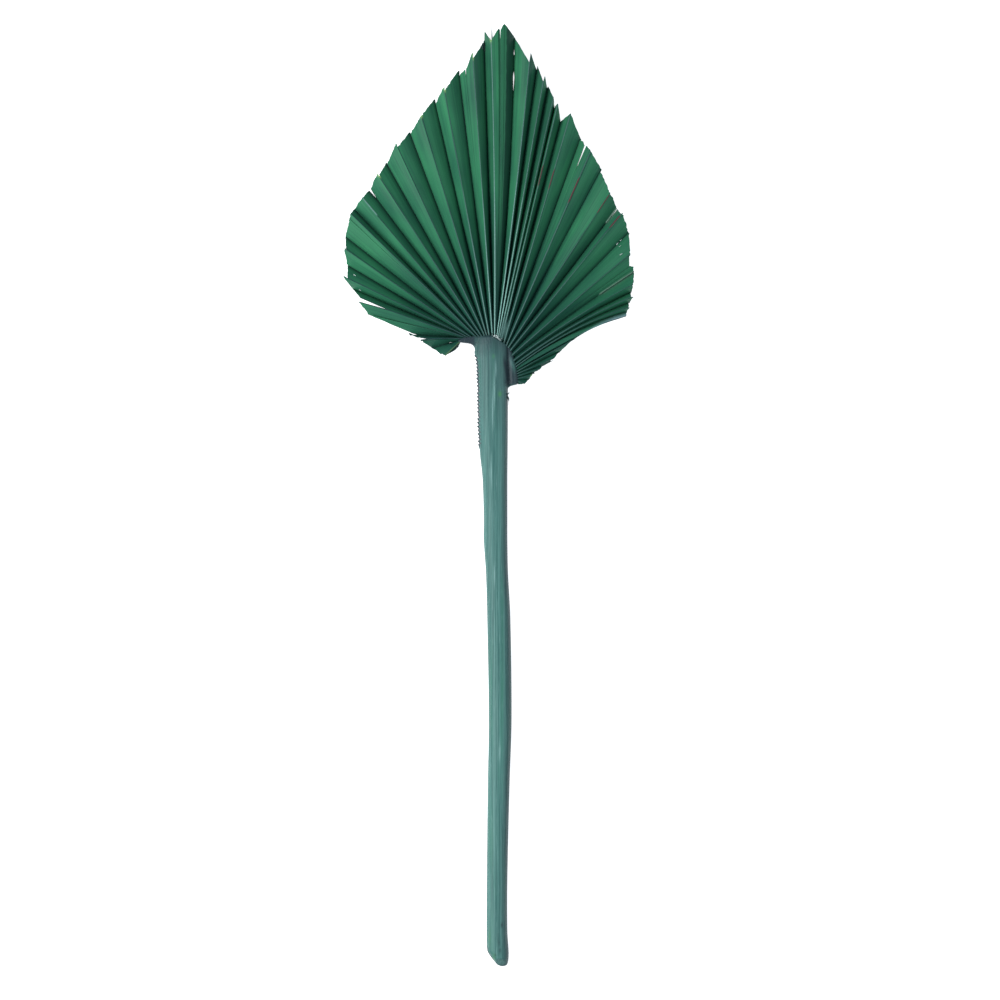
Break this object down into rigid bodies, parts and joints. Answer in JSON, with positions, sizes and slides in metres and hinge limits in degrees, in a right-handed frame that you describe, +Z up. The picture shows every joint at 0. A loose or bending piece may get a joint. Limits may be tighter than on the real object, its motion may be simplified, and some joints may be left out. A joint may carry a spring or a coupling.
{
  "type": "fan palm leaf",
  "caption": "Dried, green-dyed fan palm leaf cut to a spear-shaped head: a pleated blade with ribbed folds, a toothed cut rim and small slits, on a long bare stalk.",
  "frame": {"origin": "middle of the whole leaf's bounding box, on the surface that the leaf lies on", "axes": "+Y along the leaf, from the stalk's cut end to the tip of the head; +X to the right seen from above; +Z up, out of the blade's upper face"},
  "size_m": [0.1451, 0.4714, 0.0092],
  "materials": {
    "blade": "satin",
    "stalk": "satin"
  },
  "bodies": {
    "root": {"blade": "blade", "stalk": "stalk"}
  },
  "joints": []
}
